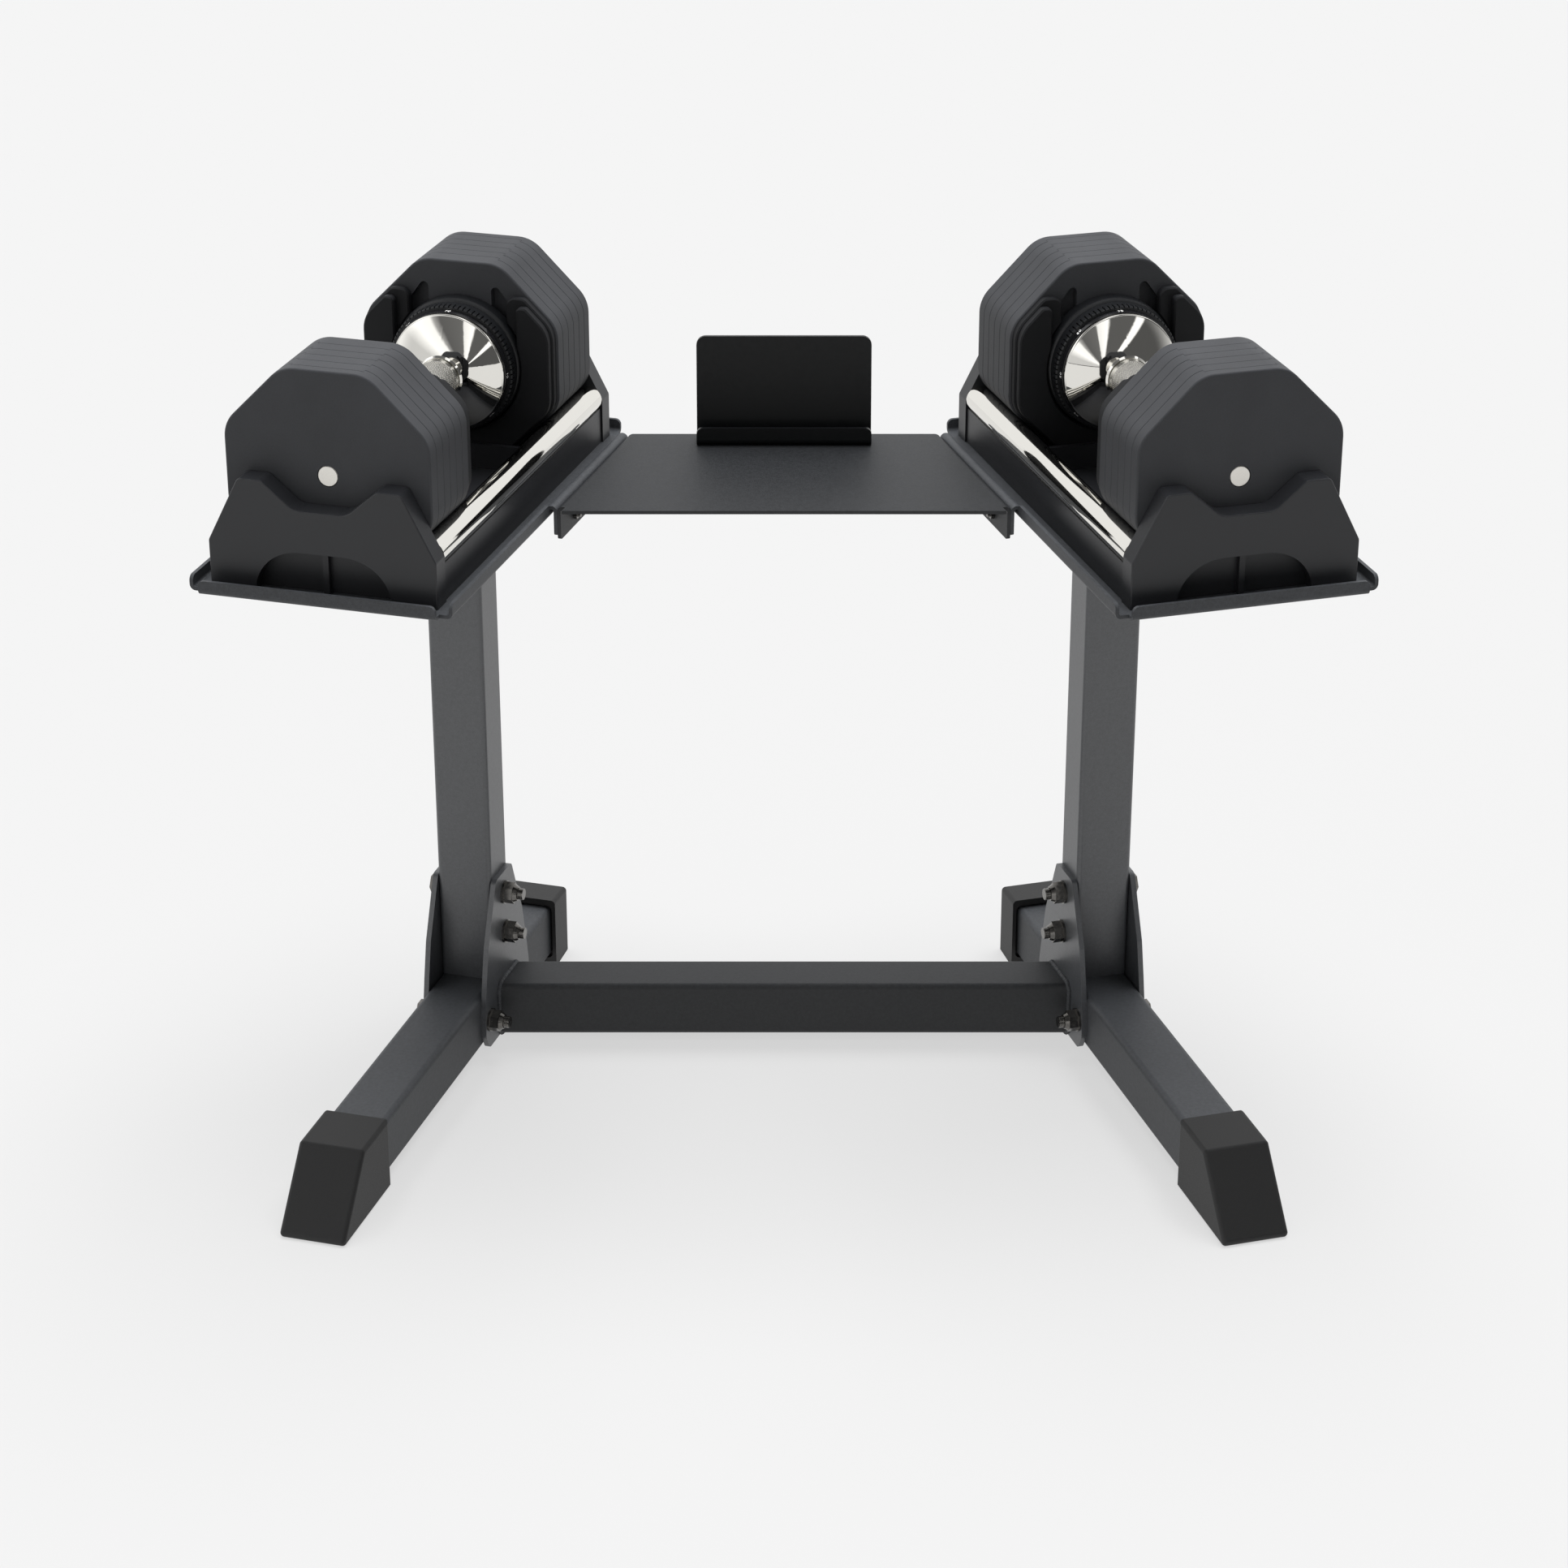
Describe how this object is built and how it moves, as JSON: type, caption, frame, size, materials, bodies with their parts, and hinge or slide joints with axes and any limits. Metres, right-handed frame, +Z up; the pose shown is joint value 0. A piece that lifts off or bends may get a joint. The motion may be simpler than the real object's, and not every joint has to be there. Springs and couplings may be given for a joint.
{
  "type": "adjustable dumbbell set with stand",
  "caption": "Adjustable octagonal dumbbells with twist handles, in open cradles on a two-legged steel floor stand with a shelf and device holder.",
  "frame": {"origin": "on the floor under the middle of the whole outline", "axes": "+X to the right seen from the front, +Y to the rear, +Z up"},
  "size_m": [0.9384, 0.5498, 0.7142],
  "materials": {
    "powder_coat": "fine textured charcoal powder coat",
    "holder_coat": "smooth satin black powder coat",
    "foot_plastic": "moulded grey-black plastic",
    "black_zinc": "black zinc plating",
    "cradle_plastic": "satin moulded black plastic",
    "chrome": "polished chrome plate",
    "knurled_chrome": "chrome plate over diamond knurling",
    "weight_coat": "matte grey-black coating on steel plate",
    "hub_coat": "matte black coating on steel",
    "index_plastic": "satin moulded black plastic",
    "number_gloss": "gloss black plastic with white figures",
    "bare_steel": "ground steel"
  },
  "bodies": {
    "stand": {"cradle_screws": "black_zinc", "crossbar": "powder_coat", "device_holder": "holder_coat", "frame_bolts": "black_zinc", "frame_lock_nuts": "black_zinc", "frame_washers": "black_zinc", "holder_screws": "black_zinc", "left_cradle": "cradle_plastic", "left_cradle_rails": "chrome", "left_front_foot_cap": "foot_plastic", "left_inner_gusset": "powder_coat", "left_leg": "powder_coat", "left_outer_gusset": "powder_coat", "left_rear_foot_cap": "foot_plastic", "left_tray": "powder_coat", "left_upright": "powder_coat", "left_upright_top_plate": "powder_coat", "right_cradle": "cradle_plastic", "right_cradle_rails": "chrome", "right_front_foot_cap": "foot_plastic", "right_inner_gusset": "powder_coat", "right_leg": "powder_coat", "right_outer_gusset": "powder_coat", "right_rear_foot_cap": "foot_plastic", "right_tray": "powder_coat", "right_upright": "powder_coat", "right_upright_top_plate": "powder_coat", "shelf": "powder_coat", "shelf_screws": "black_zinc", "tray_screws": "black_zinc"},
    "left_dumbbell": {"left_hub_collars": "hub_coat", "left_index_rings": "index_plastic", "left_weight_plates_1": "weight_coat", "left_weight_plates_2": "weight_coat", "left_weight_plates_3": "weight_coat", "left_weight_plates_4": "weight_coat", "left_weight_plates_5": "weight_coat", "left_weight_plates_6": "weight_coat", "left_wing_weights": "weight_coat"},
    "left_handle": {"left_grip": "knurled_chrome", "left_handle_bells": "chrome", "left_number_rings": "number_gloss", "left_cam_sleeve": "bare_steel"},
    "left_front_rod": {"left_front_lock_rod": "bare_steel"},
    "left_rear_rod": {"left_rear_lock_rod": "bare_steel"},
    "right_dumbbell": {"right_hub_collars": "hub_coat", "right_index_rings": "index_plastic", "right_weight_plates_1": "weight_coat", "right_weight_plates_2": "weight_coat", "right_weight_plates_3": "weight_coat", "right_weight_plates_4": "weight_coat", "right_weight_plates_5": "weight_coat", "right_weight_plates_6": "weight_coat", "right_wing_weights": "weight_coat"},
    "right_handle": {"right_grip": "knurled_chrome", "right_handle_bells": "chrome", "right_number_rings": "number_gloss", "right_cam_sleeve": "bare_steel"},
    "right_front_rod": {"right_front_lock_rod": "bare_steel"},
    "right_rear_rod": {"right_rear_lock_rod": "bare_steel"}
  },
  "joints": [
    {"name": "left_dumbbell_lift", "type": "slide", "parent": "stand", "child": "left_dumbbell", "axis": [0, 0, 1], "range_m": [0, 0.2]},
    {"name": "left_handle_twist", "type": "hinge", "parent": "left_dumbbell", "child": "left_handle", "pos_m": [-0.30221, 0.02496, 0.6282], "axis": [0.2798, 0.96, 0], "range_deg": [0, 270]},
    {"name": "left_front_rod_slide", "type": "slide", "parent": "left_dumbbell", "child": "left_front_rod", "axis": [0.2798, 0.96, 0], "range_m": [0, 0.082]},
    {"name": "left_rear_rod_slide", "type": "slide", "parent": "left_dumbbell", "child": "left_rear_rod", "axis": [-0.2798, -0.96, 0], "range_m": [0, 0.082]},
    {"name": "right_dumbbell_lift", "type": "slide", "parent": "stand", "child": "right_dumbbell", "axis": [0, 0, 1], "range_m": [0, 0.2]},
    {"name": "right_handle_twist", "type": "hinge", "parent": "right_dumbbell", "child": "right_handle", "pos_m": [0.30221, 0.02496, 0.6282], "axis": [-0.2798, 0.96, 0], "range_deg": [0, 270]},
    {"name": "right_front_rod_slide", "type": "slide", "parent": "right_dumbbell", "child": "right_front_rod", "axis": [-0.2798, 0.96, 0], "range_m": [0, 0.082]},
    {"name": "right_rear_rod_slide", "type": "slide", "parent": "right_dumbbell", "child": "right_rear_rod", "axis": [0.2798, -0.96, 0], "range_m": [0, 0.082]}
  ],
  "couplings": [
    {"joint": "left_front_rod_slide", "follows": "left_handle_twist", "m_per_rad": 0.01738},
    {"joint": "left_rear_rod_slide", "follows": "left_handle_twist", "m_per_rad": 0.01738},
    {"joint": "right_front_rod_slide", "follows": "right_handle_twist", "m_per_rad": 0.01738},
    {"joint": "right_rear_rod_slide", "follows": "right_handle_twist", "m_per_rad": 0.01738}
  ]
}
